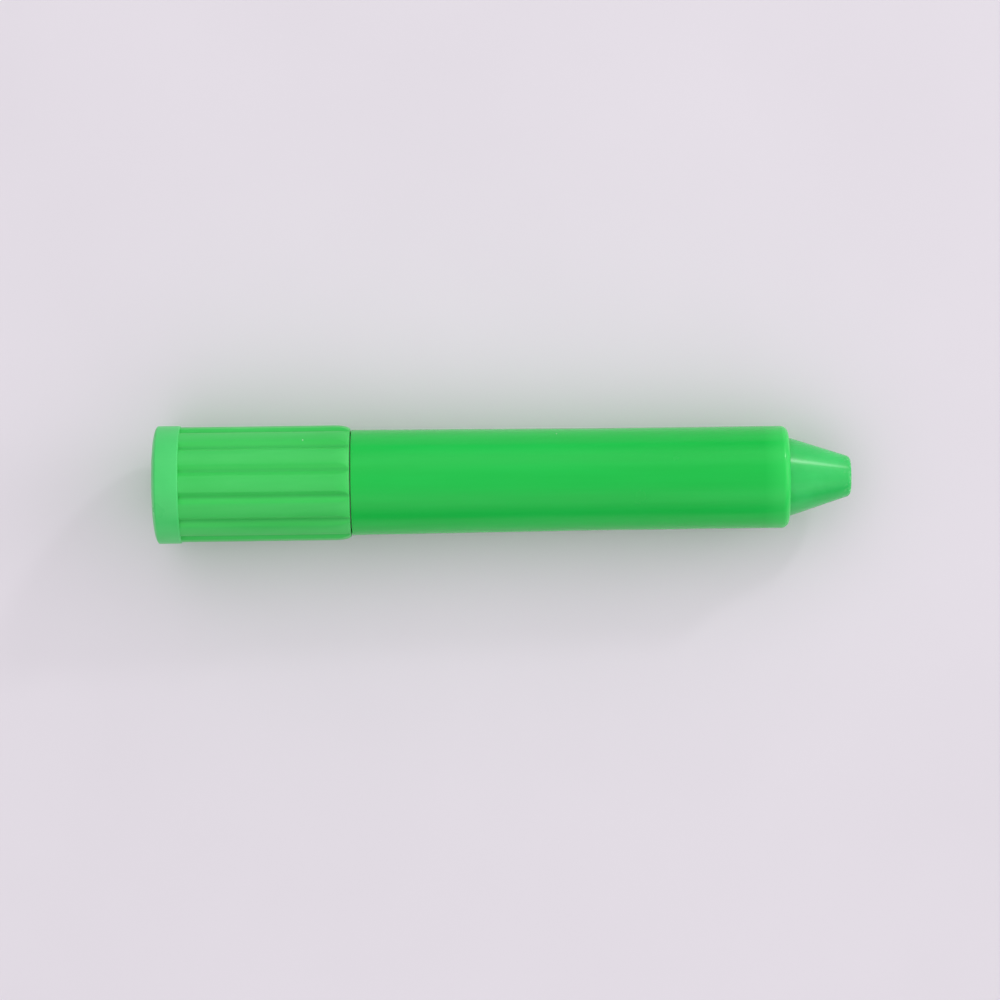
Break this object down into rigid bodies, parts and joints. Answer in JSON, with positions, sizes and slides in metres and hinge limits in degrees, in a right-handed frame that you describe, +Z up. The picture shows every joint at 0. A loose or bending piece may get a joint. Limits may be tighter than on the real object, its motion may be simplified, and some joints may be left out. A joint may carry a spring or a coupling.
{
  "type": "twist crayon",
  "caption": "Twist-up gel crayon: turning the ribbed rear knob winds a soft solid core with a conical tip out of a smooth round barrel, or back into it.",
  "frame": {"origin": "centre of the flat end face of the knob, on the crayon's axis", "axes": "+X along the axis from the knob to the tip, +Z up, as the crayon lies on its side"},
  "size_m": [0.1078, 0.0182, 0.0182],
  "materials": {
    "barrel_plastic": "glossy moulded polypropylene, bright green",
    "knob_plastic": "moulded polypropylene with a soft gloss, bright green",
    "mechanism_plastic": "natural white moulded plastic",
    "ring_rubber": "matt black silicone rubber",
    "gel": "waxy green gel, glossy where it was moulded"
  },
  "bodies": {
    "barrel_body": {"barrel": "barrel_plastic", "mid_bush": "mechanism_plastic", "drag_ring": "ring_rubber"},
    "knob_body": {"twist_knob": "knob_plastic", "knob_end_plug": "knob_plastic", "spiral_sleeve": "mechanism_plastic"},
    "core_body": {"push_rod": "mechanism_plastic", "core_cup": "mechanism_plastic", "gel_core": "gel"}
  },
  "joints": [
    {"name": "knob_twist", "type": "hinge", "parent": "barrel_body", "child": "knob_body", "pos_m": [0, 0, 0], "axis": [1, 0, 0], "range_deg": [-630, 1500]},
    {"name": "core_feed", "type": "slide", "parent": "barrel_body", "child": "core_body", "axis": [1, 0, 0], "range_m": [-0.0105, 0.025]}
  ],
  "couplings": [
    {"joint": "core_feed", "follows": "knob_twist", "m_per_rad": 0.00095493}
  ]
}
